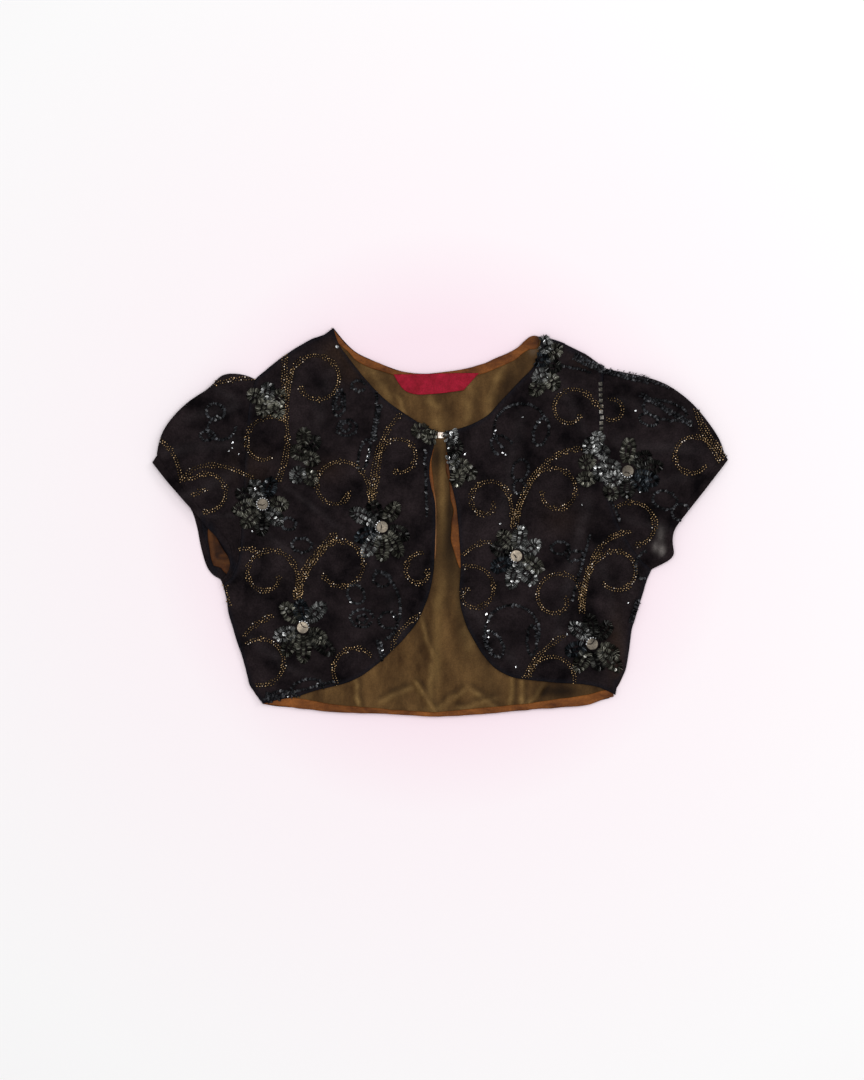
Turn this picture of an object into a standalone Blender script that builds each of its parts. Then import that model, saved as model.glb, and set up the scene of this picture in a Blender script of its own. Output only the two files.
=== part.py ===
"""Bolero jacket lying flat on its back, fronts uppermost.

Tables are in millimetres. X runs to the right of the picture, Y to the neck and Z up. The jacket's underside
is at Z 0. Left and right are as seen in the photo.
"""
import math

import bmesh
import bpy
from mathutils import Vector

for old in list(bpy.data.objects):
    bpy.data.objects.remove(old)

MM = 0.001
CENTRE = Vector((1.4, 0.17, 0))  # brings the middle of the outline to X 0, Y 0
WELD = 1e-7
GAP = 0.3  # between pieces that lie on each other
SEAM = 0.6  # between pieces sewn edge to edge
WALL = 1.0  # a layer of cloth
THIN = 0.9  # lining, facings and label

# Heights of each layer's lower side
LINING_Z = WALL + GAP
FACING_Z = LINING_Z + THIN + GAP
FRONT_Z = FACING_Z
FRONT_RISE = THIN + GAP  # the fronts' free edges lie on the facings
LABEL_Z = FACING_Z + THIN + GAP

# Smooth edge curves, each row (x, y)
SHOULDER_LEFT = [(-185.5, 143), (-173, 154), (-154.5, 168), (-130.5, 182.5), (-117.5, 187), (-108, 194)]
BACK_NECK = [
    (-108, 194), (-92, 175), (-79.5, 166.3), (-63.5, 159.6), (-45.5, 152.2), (-27.5, 148.8), (-10, 148.4),
    (18.5, 151.6), (37.5, 156), (57.5, 164.4), (77.5, 174.3), (90, 185), (100, 185.7),
]
SHOULDER_RIGHT = [(100, 185.7), (121.5, 179), (131.2, 171), (141, 169.3), (154.5, 160.4), (162.5, 154)]
ARMHOLE_LEFT = [
    (-185.5, 143), (-191.5, 122), (-194.5, 92), (-196.5, 62), (-198, 32), (-199.5, 2), (-201, -22),
    (-204, -42), (-210, -55), (-218.5, -62.5),
]
ARMHOLE_RIGHT = [
    (162.5, 154), (160.5, 122), (161.5, 82), (164, 42), (171, 12), (183, -14), (198, -36), (210, -47.5),
]
SIDE_LEFT = [
    (-218.5, -62.5), (-214.5, -79), (-213, -90), (-204.5, -119), (-199, -135), (-193.5, -155.5),
    (-190.5, -166), (-186, -171),
]
SIDE_RIGHT = [
    (210, -47.5), (205.5, -57), (202, -69), (193.5, -96.5), (190, -108), (188, -124), (184, -147),
    (178, -160), (174.3, -166.5),
]
BACK_HEM = [
    (-186, -171), (-178.5, -181.8), (-143.5, -186), (-106.5, -190), (-51.5, -192), (-14.5, -194.2),
    (8.5, -194), (47.5, -191.5), (87.5, -187.6), (144.5, -183.2), (156.5, -178.7), (171.5, -174.7),
    (174.3, -166.5),
]
FRONT_HEM_LEFT = [(-186, -171), (-182, -177), (-178.5, -181.5)]
FRONT_HEM_RIGHT = [(174.3, -166.5), (174.2, -169.5), (173.8, -172.8)]
FRONT_NECK_LEFT = [
    (-108, 194), (-105.3, 184), (-100, 173.4), (-90.5, 161), (-77, 144), (-59, 125), (-41, 111),
    (-27.5, 103), (-18.5, 96.6), (-11.5, 92), (-5.3, 90.6),
]
FRONT_NECK_RIGHT = [
    (100, 185.7), (96.8, 170), (91.5, 155), (80.9, 143.6), (60.5, 122.2), (43.2, 104), (35, 100),
    (24.5, 96), (15.5, 92.6), (3.8, 90.8),
]
OPENING_LEFT = [
    (-5.3, 90.6), (-5.8, 83), (-9.5, 68), (-12.5, 50), (-9.5, 31.5), (-6, 16), (-6.5, -23), (-9, -57.5),
    (-15.9, -81.6), (-25.5, -102), (-41.8, -121), (-60.5, -139), (-78.8, -153), (-97.5, -161.5),
    (-125.5, -168.5), (-143.5, -174), (-162, -177.7), (-178.5, -181.5),
]
OPENING_RIGHT = [
    (3.8, 90.8), (3.9, 82), (6.5, 62), (9.2, 41), (13.5, 23.4), (16.5, -1), (18.5, -27.5), (19.1, -47),
    (18.2, -77), (26.1, -106.5), (43.9, -136), (53.5, -146), (63.5, -152), (75.5, -156), (107, -160),
    (150.5, -163), (164, -168), (173.8, -172.8),
]
CROWN_LEFT = [
    (-185.5, 143), (-191.5, 146.5), (-199, 148), (-210, 149), (-218.5, 148.4), (-223.1, 144.7),
    (-230.5, 134.5), (-249, 123.4), (-265.5, 108.6), (-277.5, 93), (-282.5, 80), (-285, 66), (-289.3, 59.6),
]
CROWN_RIGHT = [
    (162.5, 154), (168.5, 152), (181.2, 150), (208.5, 144), (226.5, 137), (239.5, 128), (252.5, 117),
    (267.5, 98.6), (275.5, 87), (281, 77), (283, 68), (286.5, 62.3),
]
# The left sleeve's hem gapes: its upper layer has drawn back from its lower one
HEM_UPPER_LEFT = [
    (-289.3, 59.6), (-273, 39), (-251.5, 14.5), (-241, 3), (-233, -7), (-225, -15), (-217.5, -26),
    (-212.5, -36), (-211, -44), (-214, -51), (-220.5, -57.5),
]
HEM_LOWER_LEFT = [
    (-289.3, 59.6), (-273, 39), (-251.5, 14.5), (-244.5, -5), (-241, -23.5), (-235, -44), (-229, -52.5),
    (-220.5, -57.5),
]
HEM_UPPER_RIGHT = [
    (286.5, 62.3), (262, 30.5), (247, 11.5), (234, -5.5), (231.2, -13), (231, -23), (232.7, -32),
    (228.5, -37.5), (221.8, -41.5), (212.5, -46),
]
HEM_LOWER_RIGHT = [
    (286.5, 62.3), (262, 30), (246.5, 11), (233, -6), (229.5, -15), (229, -24), (230, -31.5),
    (226, -36.5), (219, -41.5), (212.5, -46),
]

# Facings: the far edge of each strip, (x, y)
NECK_FACING_EDGE = [
    (-101, 181), (-88, 167.5), (-76.5, 159.3), (-61, 152.6), (-44, 145.3), (-27, 141.6), (-10, 141),
    (20, 143.8), (40, 148.3), (61, 157), (81, 167), (92.5, 172), (96.5, 176),
]
HEM_FACING_EDGE = [
    (-179, -173), (-143.5, -176.5), (-106.5, -183), (-69.5, -186.2), (-32.5, -189.2), (-1.5, -190.2),
    (47.5, -185.6), (87.5, -181.6), (107.5, -178.7), (146.5, -172.7), (160.5, -168.8), (171, -167),
]
FRONT_FACING_LEFT = [(-7.6, 74), (-8, 68), (-10.9, 50), (-8.1, 31.5), (-4.6, 16), (-5.2, -23), (-7.4, -52)]
FRONT_FACING_RIGHT = [
    (4.6, 70), (4.3, 52), (7.5, 39.5), (9, 22), (11.9, 12), (10.1, 1), (9.9, -9), (9.2, -18.5),
    (11.9, -27.5), (14.1, -34.6), (17.6, -46),
]
FACING_COVERED = 9  # of a front facing, under the front

# Soft ridges: each row is one fold's (from_x, from_y, to_x, to_y, half_width, height)
LINING_FOLDS = [
    (70, -140, 72, -186, 15, 0.7),
    (-72, -150, -80, -184, 16, 0.6),
    (10, -110, 22, -170, 15, 0.8),
    (4, 20, 4, -60, 13, 0.6),
    (-30, 124, -16, 96, 15, 0.6),
    (34, 134, 40, 104, 15, 0.6),
]
FRONT_FOLDS_LEFT = [
    (-190, 40, -60, 60, 26, 1.6),
    (-180, -40, -60, -60, 24, 1.5),
    (-120, 150, -90, 20, 16, 1.2),
    (-170, -120, -70, -100, 20, 1.2),
    (-120, -60, -40, -20, 9, 0.9),
    (-160, 0, -110, 90, 8, 0.9),
]
FRONT_FOLDS_RIGHT = [
    (60, 60, 160, 30, 26, 1.6),
    (50, -60, 170, -60, 24, 1.5),
    (100, 130, 80, 20, 16, 1.2),
    (70, -120, 160, -130, 18, 1.2),
    (60, 10, 120, -40, 9, 0.9),
    (120, 110, 140, 20, 8, 0.9),
]

# Sleeve heights
SEAM_TOP = FRONT_Z + WALL
CUFF_FOLD_RISE = 1.2
FOLD_ROUNDNESS = 0.6
PUFF = {"crown": 12.5, "cuff": 7.0, "less_at_underarm": 0.65}  # above the seam, at mid-length and at the hem
BAND_WIDTH = 7.0
GATHERS = {"count": 8, "height": 1.1}  # along the sleeve's head
SLEEVE_COLUMNS = 64

LABEL = [(-46.5, 147), (-27.5, 128.8), (22.5, 131), (35, 147.4)]  # corners: top, bottom, bottom, top
CLASP = {"x": -0.75, "y": 86.75, "side": 6.4, "height": 2.2, "bevel": 0.5}
CLASP_LOOP = {"x": 3.6, "y": 86.6, "z": 5.6, "half_length": 3.6, "half_width": 1.6, "thread": 0.9}
# Metal discs at the flowers' centres: (x, y, piece it lies on)
DISCS = [
    (-59.5, -5, "front_left"), (-138.5, -105.5, "front_left"), (-178.5, 18, "front_left"),
    (74.5, -34, "front_right"), (150.5, -122, "front_right"), (186.5, 50.6, "sleeve_right"),
]
DISC = {"radius": 6.4, "thickness": 1.2, "bevel": 0.3, "gap": 0.45}

BLACK, GOLD_SILK, ORANGE, CRIMSON, SILVER = (
    (0.012, 0.011, 0.014), (0.17, 0.105, 0.035), (0.33, 0.12, 0.025), (0.42, 0.012, 0.045), (0.6, 0.58, 0.53),
)


def metres(point):
    """A point of the tables, given in millimetres, in the scene."""
    return (Vector(point) + CENTRE) * MM


def ease(t):
    t = min(1.0, max(0.0, t))
    return t * t * (3 - 2 * t)


def curve(rows):
    """A smooth curve through the rows, as a function of t from 0 to 1 that runs evenly along it."""
    points = [Vector(row) for row in rows]
    reach = [0.0]
    for before, after in zip(points, points[1:]):
        reach.append(reach[-1] + (after - before).length)

    def at(t):
        wanted = t * reach[-1]
        i = max(k for k in range(len(points) - 1) if reach[k] <= wanted or k == 0)
        f = (wanted - reach[i]) / (reach[i + 1] - reach[i])
        a, b = points[i], points[i + 1]
        into = (b - points[i - 1]) / 2 if i else b - a
        out = (points[i + 2] - a) / 2 if i + 2 < len(points) else b - a
        limit = (b - a).length
        into, out = (v * min(1, limit / max(v.length, 1e-9)) for v in (into, out))
        return (
            a * (2 * f**3 - 3 * f**2 + 1) + into * (f**3 - 2 * f**2 + f)
            + b * (3 * f**2 - 2 * f**3) + out * (f**3 - f**2)
        )

    return at


def joined(*pieces):
    """Curves end to end: each piece is (share of t, curve)."""

    def at(t):
        start = 0.0
        for share, piece in pieces[:-1]:
            if t <= start + share + 1e-9:
                return piece((t - start) / share)
            start += share
        return pieces[-1][1](min(1.0, (t - start) / pieces[-1][0]))

    return at


def patch(top, bottom, left, right):
    """The flat area inside four edges, as a function of (u, v): u from left to right, v from top to bottom."""

    def at(u, v):
        corners = (
            top(0) * (1 - u) * (1 - v) + top(1) * u * (1 - v)
            + bottom(0) * (1 - u) * v + bottom(1) * u * v
        )
        return top(u) * (1 - v) + bottom(u) * v + left(v) * (1 - u) + right(v) * u - corners

    return at


def ridges(folds, x, y):
    height = 0.0
    for from_x, from_y, to_x, to_y, half_width, rise in folds:
        start, run = Vector((from_x, from_y)), Vector((to_x - from_x, to_y - from_y))
        along = (Vector((x, y)) - start).dot(run) / run.length_squared
        aside = (Vector((x, y)) - start - run * along).length / half_width
        past = max(0.0, -along, along - 1) * run.length / half_width
        height += rise * math.exp(-aside**2 - past**2)
    return height


def material(name, colour, metallic=0.0, roughness=0.7):
    made = bpy.data.materials.get(name) or bpy.data.materials.new(name)
    made.use_nodes = True
    shader = made.node_tree.nodes["Principled BSDF"]
    shader.inputs["Base Color"].default_value = (*colour, 1)
    shader.inputs["Metallic"].default_value = metallic
    shader.inputs["Roughness"].default_value = roughness
    return made


CLOTH = material("black_cloth", BLACK)
SILK = material("gold_silk", GOLD_SILK, roughness=0.5)
FACING = material("orange_silk", ORANGE, roughness=0.5)
WOVEN = material("crimson_label", CRIMSON)
METAL = material("metal", SILVER, metallic=0.9, roughness=0.35)


def place_object(name, mesh, made_of):
    """A new object in a collection of its own name."""
    obj = bpy.data.objects.new(name, mesh)
    collection = bpy.data.collections.new(name)
    bpy.context.scene.collection.children.link(collection)
    collection.objects.link(obj)
    mesh.materials.append(made_of)
    return obj


def grid(columns, rows, place):
    """A grid of faces whose point at shares u across and v down goes to place(u, v), in millimetres."""
    shape = bmesh.new()
    bmesh.ops.create_grid(shape, x_segments=columns, y_segments=rows, size=0.5)
    for vertex in shape.verts:
        vertex.co = metres(place(vertex.co.x + 0.5, 0.5 - vertex.co.y))
    return shape


def finished(shape, name, made_of):
    mesh = bpy.data.meshes.new(name)
    shape.to_mesh(mesh)
    shape.free()
    mesh.shade_smooth()
    return place_object(name, mesh, made_of)


def layer(name, area, columns, rows, height, thickness, made_of):
    """A layer of cloth over a flat area. Its lower side is at height(x, y, u, v)."""

    def place(u, v):
        x, y = area(u, v)
        return Vector((x, y, height(x, y, u, v)))

    shape = grid(columns, rows, place)
    shape.normal_update()
    if sum(face.normal.z for face in shape.faces) < 0:
        bmesh.ops.reverse_faces(shape, faces=shape.faces)
    obj = finished(shape, name, made_of)
    solidify = obj.modifiers.new("wall", "SOLIDIFY")
    solidify.thickness = thickness * MM
    solidify.offset = 1
    return obj


def shifted(at, x, y=0.0):
    return lambda t: at(t) + Vector((x, y))


def build_back():
    top = joined((0.25, curve(SHOULDER_LEFT)), (0.5, curve(BACK_NECK)), (0.25, curve(SHOULDER_RIGHT)))
    left = joined((0.6, curve(ARMHOLE_LEFT)), (0.4, curve(SIDE_LEFT)))
    right = joined((0.6, curve(ARMHOLE_RIGHT)), (0.4, curve(SIDE_RIGHT)))
    area = patch(top, curve(BACK_HEM), left, right)
    layer("back", area, 28, 30, lambda x, y, u, v: 0.0, WALL, CLOTH)

    def inset(u, v):
        return area(0.004 + 0.992 * u, 0.006 + 0.986 * v)

    def over_back(x, y, u, v):
        return LINING_Z + ridges(LINING_FOLDS, x, y)

    layer("back_lining", inset, 24, 14, over_back, THIN, SILK)


def build_facings():
    def on_lining(x, y, u, v):
        return FACING_Z + ridges(LINING_FOLDS, x, y)

    def strip(name, edge, far, count):
        area = patch(edge, far, lambda v: edge(0).lerp(far(0), v), lambda v: edge(1).lerp(far(1), v))
        layer(name, area, count, 2, on_lining, THIN, FACING)

    strip("neck_facing", shifted(curve(BACK_NECK[:-1]), 0, -0.5), curve(NECK_FACING_EDGE[:-1]), 30)
    strip("hem_facing", shifted(curve(BACK_HEM[1:-1]), 0, 0.4), curve(HEM_FACING_EDGE), 30)
    left, right = curve(FRONT_FACING_LEFT), curve(FRONT_FACING_RIGHT)
    strip("front_facing_left", left, shifted(left, -FACING_COVERED), 14)
    strip("front_facing_right", right, shifted(right, FACING_COVERED), 22)


def build_front(side, shoulder, armhole, seam, hem, neck, opening, folds):
    """The patch runs from the armhole and side at u 0 to the neck and opening at u 1."""
    outer = joined((0.6, curve(armhole)), (0.4, curve(seam)))
    inner = joined((0.3, curve(neck)), (0.7, curve(opening)))
    area = patch(curve(shoulder), curve(hem), outer, inner)

    def height(x, y, u, v):
        loose = ease(u / 0.2) * ease((1 - u) / 0.12) * ease(v / 0.12) * ease((1 - v) / 0.12)
        rest = FRONT_Z + FRONT_RISE * ease(u / 0.6) + ridges(LINING_FOLDS, x, y)
        return rest + loose * ridges(folds, x, y)

    layer(f"front_{side}", area, 16, 30, height, WALL, CLOTH)


def build_sleeve(side, armhole, crown, upper_hem, lower_hem, outward):
    """A tube, each ring over the upper layer from crown to underarm and back along the lower layer."""
    seam = shifted(curve(armhole), outward * SEAM)
    fold = curve(crown)
    hems = [curve(upper_hem), curve(lower_hem)]

    def layer_area(hem):
        def crown_fold(v):
            return fold(v) + (seam(0) - fold(0)) * (1 - v)

        return patch(seam, hem, crown_fold, lambda v: seam(1).lerp(hem(1), v))

    areas = [layer_area(hem) for hem in hems]

    def point(share, around, inward):
        """share runs from seam to hem. inward is 0 on the tube's outer side and 1 on its inner side."""
        angle = 2 * math.pi * around
        lower = around > 0.5
        bulge = 0.0 if around in (0.0, 0.5) else abs(math.sin(angle)) ** FOLD_ROUNDNESS
        across = (1 - math.cos(angle)) / 2
        inset = inward * WALL / (seam(1) - seam(0)).length
        x, y = areas[lower](inset + (1 - 2 * inset) * across, share)
        middle = SEAM_TOP / 2 + CUFF_FOLD_RISE * ease(share)
        if lower:
            return Vector((x, y, middle - (middle - inward * WALL) * bulge))
        lift = PUFF["crown"] * math.sin(math.pi * share**0.8) + PUFF["cuff"] * ease(share / 0.7)
        lift *= 1 - PUFF["less_at_underarm"] * across
        wave = (math.cos(2 * math.pi * GATHERS["count"] * across) - 1) * GATHERS["height"]
        lift += wave * ease(share / 0.15) * (1 - ease((share - 0.15) / 0.5)) * (1 - ease(across / 0.9))
        return Vector((x, y, middle + (SEAM_TOP + lift - middle - inward * WALL) * bulge))

    def band_start(around):
        """The share from seam to hem where the band starts, and the share that the seam there takes."""
        across = (1 - math.cos(2 * math.pi * around)) / 2
        length = (hems[around > 0.5](across) - seam(across)).length
        return 1 - min(BAND_WIDTH, length / 2) / length, SEAM / length

    def tube(name, rows, share_at):
        """A ring of wall: its rows go out along the outer side and back along the inner side."""
        steps = 2 * rows + 2

        def place(u, v):
            around = round(u * SLEEVE_COLUMNS) % SLEEVE_COLUMNS / SLEEVE_COLUMNS
            step = round(v * steps) % steps
            inward = int(step > rows)
            row = steps - 1 - step if inward else step
            return point(share_at(row / rows, around), around, inward)

        shape = grid(SLEEVE_COLUMNS, steps, place)
        bmesh.ops.remove_doubles(shape, verts=shape.verts, dist=WELD)
        bmesh.ops.recalc_face_normals(shape, faces=shape.faces)
        finished(shape, name, CLOTH)

    def sleeve_share(f, around):
        start, gap = band_start(around)
        return f * (start - gap)

    def band_share(f, around):
        start, _ = band_start(around)
        return start + f * (1 - start)

    tube(f"sleeve_{side}", 12, sleeve_share)
    tube(f"sleeve_band_{side}", 2, band_share)
    return areas[1]


def build_sleeve_lining(lower):
    """The patch of lining that shows in the left sleeve's open hem, on the lower layer."""

    def area(u, v):
        return lower(0.66 + 0.26 * u, 0.2 + 0.5 * v)

    def height(x, y, u, v):
        return LINING_Z + 0.9 + 0.5 * math.sin(7 * u) * math.sin(5 * v)

    layer("sleeve_lining_left", area, 8, 6, height, THIN, FACING)


def build_label():
    corners = [Vector(corner) for corner in LABEL]
    area = patch(
        lambda u: corners[0].lerp(corners[3], u), lambda u: corners[1].lerp(corners[2], u),
        lambda v: corners[0].lerp(corners[1], v), lambda v: corners[3].lerp(corners[2], v),
    )
    layer("label", area, 6, 3, lambda x, y, u, v: LABEL_Z, THIN, WOVEN)


def build_clasp():
    """A square clasp between the fronts, and the thread loop that ties it to the right front."""
    bpy.ops.mesh.primitive_cube_add(size=1)
    plate = bpy.context.object
    plate.dimensions = Vector((CLASP["side"], CLASP["side"], CLASP["height"])) * MM
    bpy.ops.object.transform_apply(location=False, rotation=False)
    plate.location = metres((CLASP["x"], CLASP["y"], FACING_Z + CLASP["height"] / 2))
    bevel = plate.modifiers.new("edges", "BEVEL")
    bevel.width = CLASP["bevel"] * MM
    named(plate, "clasp_plate", METAL)
    loop = bpy.data.curves.new("clasp_loop", "CURVE")
    loop.dimensions = "3D"
    loop.bevel_depth = CLASP_LOOP["thread"] / 2 * MM
    loop.bevel_resolution = 1
    line = loop.splines.new("POLY")
    turns = 20
    line.points.add(turns - 1)
    line.use_cyclic_u = True
    for i, point in enumerate(line.points):
        angle = 2 * math.pi * i / turns
        x = CLASP_LOOP["x"] + CLASP_LOOP["half_length"] * math.cos(angle)
        y = CLASP_LOOP["y"] + CLASP_LOOP["half_width"] * math.sin(angle)
        point.co = (*metres((x, y, CLASP_LOOP["z"])), 1)
    place_object("clasp_loop", loop, METAL)


def named(obj, name, made_of):
    """Gives an object made from a primitive its name, its material and its own collection."""
    obj.name = name
    obj.data.materials.append(made_of)
    collection = bpy.data.collections.new(name)
    bpy.context.scene.collection.children.link(collection)
    for old in list(obj.users_collection):
        old.objects.unlink(obj)
    collection.objects.link(obj)


def build_disc(name, x, y, below):
    """A round metal disc that lies on the piece below it."""
    graph = bpy.context.evaluated_depsgraph_get()
    piece = bpy.data.objects[below].evaluated_get(graph)
    found, spot, up, _ = piece.ray_cast(metres((x, y, 100)), Vector((0, 0, -1)))
    if not found:
        raise ValueError(f"{name} has nothing below it")
    bpy.ops.mesh.primitive_cylinder_add(
        vertices=20, radius=DISC["radius"] * MM, depth=DISC["thickness"] * MM,
        location=spot + up * (DISC["gap"] + DISC["thickness"] / 2) * MM,
        rotation=up.to_track_quat("Z", "Y").to_euler(),
    )
    made = bpy.context.object
    bevel = made.modifiers.new("edges", "BEVEL")
    bevel.width = DISC["bevel"] * MM
    named(made, name, METAL)


def main():
    build_back()
    build_facings()
    build_front(
        "left", SHOULDER_LEFT, ARMHOLE_LEFT, SIDE_LEFT, FRONT_HEM_LEFT, FRONT_NECK_LEFT, OPENING_LEFT,
        FRONT_FOLDS_LEFT,
    )
    build_front(
        "right", SHOULDER_RIGHT[::-1], ARMHOLE_RIGHT, SIDE_RIGHT, FRONT_HEM_RIGHT, FRONT_NECK_RIGHT,
        OPENING_RIGHT, FRONT_FOLDS_RIGHT,
    )
    lower = build_sleeve("left", ARMHOLE_LEFT, CROWN_LEFT, HEM_UPPER_LEFT, HEM_LOWER_LEFT, -1)
    build_sleeve("right", ARMHOLE_RIGHT, CROWN_RIGHT, HEM_UPPER_RIGHT, HEM_LOWER_RIGHT, 1)
    build_sleeve_lining(lower)
    build_label()
    build_clasp()
    bpy.context.view_layer.update()
    for i, (x, y, below) in enumerate(DISCS, 1):
        build_disc(f"disc_{i}", x, y, below)


main()
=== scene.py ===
"""Looks of the bolero jacket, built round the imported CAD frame.

Places are given as the photo shows them, in steps of a millimetre: x to the right and y down. plan() turns
them into the frame's metres, and drop() seats a piece on the cloth that lies there.
"""
import math
import random

import bmesh
import bpy
import numpy as np
from mathutils import Matrix, Vector, geometry, noise
from mathutils.bvhtree import BVHTree
from mathutils.kdtree import KDTree


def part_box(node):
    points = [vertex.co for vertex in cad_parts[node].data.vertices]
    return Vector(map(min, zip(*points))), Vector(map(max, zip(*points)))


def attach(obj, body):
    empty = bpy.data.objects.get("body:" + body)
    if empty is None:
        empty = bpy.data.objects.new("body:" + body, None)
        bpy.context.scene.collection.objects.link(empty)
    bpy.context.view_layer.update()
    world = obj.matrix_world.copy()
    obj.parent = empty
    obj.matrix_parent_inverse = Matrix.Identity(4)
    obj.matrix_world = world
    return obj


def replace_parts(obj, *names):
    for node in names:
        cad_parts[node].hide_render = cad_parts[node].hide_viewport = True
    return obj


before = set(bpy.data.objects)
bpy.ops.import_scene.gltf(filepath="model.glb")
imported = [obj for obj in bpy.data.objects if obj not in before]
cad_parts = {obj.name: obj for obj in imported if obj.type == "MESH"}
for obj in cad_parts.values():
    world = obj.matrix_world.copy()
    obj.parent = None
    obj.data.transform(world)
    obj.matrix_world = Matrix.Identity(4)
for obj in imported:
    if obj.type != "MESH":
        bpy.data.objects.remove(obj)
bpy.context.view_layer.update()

MM = 0.001
PLAN_CENTRE = Vector((440.1, 522.17))
UP = Vector((0, 0, 1))
WELD = 1e-6
ABOVE = 0.1  # a height above everything, in metres, from which rays look down
UPPER_FACE = 0.35  # how much a face looks up, at the least, where it is on a sheet's upper side
RING_STEP = 2.2  # between the points of a sheet's outline, in millimetres
SHARP = math.radians(32)  # an outline's corner that turns more than this stays sharp
SEAM_OVERLAP = 0.3  # how far an edge goes into what it is sewn to, in millimetres
# The height in millimetres where a sleeve's upper layer starts, and over which its creases come in
SLEEVE_TOP = (4.5, 4)
FLOOR_Z = -0.0006
MIDDLE_X = 441
WAVE_SCALE = 0.314  # the scale at which a wave texture has one band a metre
rng = random.Random(7)
# noise_vector shapes the sheets' edges, and takes its seed from the clock unless it is given one. This is the
# clock's second in which the jacket was exported and checked.
EDGE_SEED = 1795808662
noise.seed_set(EDGE_SEED)

# Each flat layer: its thickness and the spacing of its points, in millimetres, its look and its slot
LAYERS = {
    "back": (0.8, 4.0, "georgette", "black_cloth"),
    "back_lining": (0.5, 2.4, "organza", "gold_silk"),
    "neck_facing": (0.6, 1.6, "satin", "orange_silk"),
    "hem_facing": (0.6, 1.6, "satin", "orange_silk"),
    "front_facing_left": (0.6, 1.6, "satin", "orange_silk"),
    "front_facing_right": (0.6, 1.6, "satin", "orange_silk"),
    "sleeve_lining_left": (0.5, 1.6, "satin", "orange_silk"),
    "label": (0.6, 1.6, "label", "crimson_label"),
    "front_left": (0.6, 2.2, "georgette", "black_cloth"),
    "front_right": (0.6, 2.2, "georgette", "black_cloth"),
}

# Creases: (from x, y, to x, y, half width, height), all in millimetres
LINING_CREASES = [
    (420, 618, 432, 657, 2.4, 1.2),
    (416, 684, 434, 712, 2.6, 2.2),
    (432, 668, 428, 694, 3.0, 0.8),
    (512, 678, 509, 709, 2.4, 2.0),
    (522, 682, 522, 703, 2.4, 1.3),
    (543, 686, 527, 705, 2.6, 1.6),
    (356, 682, 359, 704, 2.4, 1.2),
    (440, 706, 462, 692, 3.0, 1.3),
    (462, 708, 492, 700, 2.6, 1.2),
    (470, 690, 500, 712, 3.0, 1.0),
    (385, 700, 408, 690, 3.0, 1.0),
    (446, 470, 440, 600, 5.0, 0.7),
    (452, 560, 470, 640, 7.0, 0.8),
    (398, 398, 404, 413, 2.4, 1.3),
    (470, 392, 466, 424, 5.0, 0.8),
    (430, 395, 436, 425, 6.0, 0.8),
    (500, 372, 488, 412, 5.0, 0.8),
    (372, 372, 390, 396, 5.0, 0.7),
]
# Painted shade on the lining, most of it shadow beside and between the fronts' edges: (x, y, half width, half
# height, share)
LINING_SHADES = [
    (468, 600, 8, 60, 0.55),
    (485, 660, 10, 30, 0.4),
    (440, 455, 10, 16, 0.75),
    (524, 366, 9, 13, 0.5),
    (513, 384, 9, 14, 0.6),
    (500, 402, 9, 12, 0.5),
    (560, 692, 26, 8, 0.5),
    (420, 640, 8, 26, 0.25),
    (398, 690, 12, 14, 0.3),
    (495, 690, 10, 14, 0.35),
    (350, 352, 8, 10, 0.3),
    (372, 384, 14, 7, 0.4),
    (447, 550, 13, 38, 0.78),
    (449, 495, 5, 40, 0.45),
    (459, 608, 6, 40, 0.35),
    (436, 470, 4, 16, 0.3),
    (562, 690, 32, 10, 0.5),
]
# Painted highlights on it, paler and golden
LINING_GLOWS = [
    (442, 482, 2.2, 40, 0.3),
    (437, 625, 5, 30, 0.3),
    (437, 668, 4, 22, 0.35),
    (431, 690, 2.5, 16, 0.28),
    (418, 690, 1.6, 14, 0.22),
    (432, 709, 12, 2.5, 0.25),
    (512, 690, 2, 14, 0.3),
]
# Painted shade on the front facings, most of it the right front's shadow: (x, y, half width, half height,
# share)
FACING_SHADES = [
    (445, 470, 6, 20, 0.7),
    (447, 500, 4, 26, 0.35),
    (455, 517, 9, 34, 0.5),
]
SLEEVE_LINING_CREASES = [
    (219, 561, 230, 562, 2.0, 0.7),
    (219, 556, 228, 554, 1.6, 0.5),
    (211, 532, 214, 556, 1.8, 0.5),
]
# Painted shade on the lining inside the left sleeve's opening: (x, y, half width, half height, share)
SLEEVE_LINING_SHADES = [
    (218, 548, 40, 60, 0.72),
    (220.5, 547, 3.5, 6.5, 0.3),
    (228.2, 567, 2.2, 2.6, 0.3),
    (217, 555, 2.2, 2.2, 0.25),
]
FRONT_CREASES = [
    (290, 491, 336, 524, 3.2, 1.2),
    (314, 404, 317, 428, 3.0, 0.8),
    (250, 520, 300, 560, 4.0, 0.8),
    (372, 560, 410, 640, 5.0, 0.9),
    (250, 640, 330, 690, 5.0, 0.9),
    (330, 380, 300, 470, 6.0, 0.9),
    (520, 420, 500, 520, 6.0, 0.9),
    (585, 500, 560, 640, 6.0, 1.0),
    (470, 610, 540, 690, 6.0, 0.9),
    (600, 560, 636, 700, 5.0, 0.9),
    (560, 380, 600, 470, 5.0, 0.8),
]
SLEEVE_CREASES = [
    (203, 516, 232, 516, 3.0, 1.4),
    (208, 384, 236, 398, 4.0, 1.6),
    (170, 450, 250, 440, 6.0, 1.0),
    (190, 420, 246, 402, 5.0, 1.0),
    (180, 500, 240, 470, 5.0, 1.0),
    (606, 400, 660, 410, 5.0, 1.2),
    (604, 440, 690, 450, 6.0, 1.2),
    (612, 490, 680, 480, 5.0, 1.1),
    (625, 520, 668, 530, 4.0, 1.0),
]


def plan(x, y):
    return Vector(((x - PLAN_CENTRE.x) * MM, (PLAN_CENTRE.y - y) * MM))


def photo_place(point):
    """Where a point of the frame is in the photo. The other way round from plan()."""
    return point.x / MM + PLAN_CENTRE.x, PLAN_CENTRE.y - point.y / MM


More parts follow.
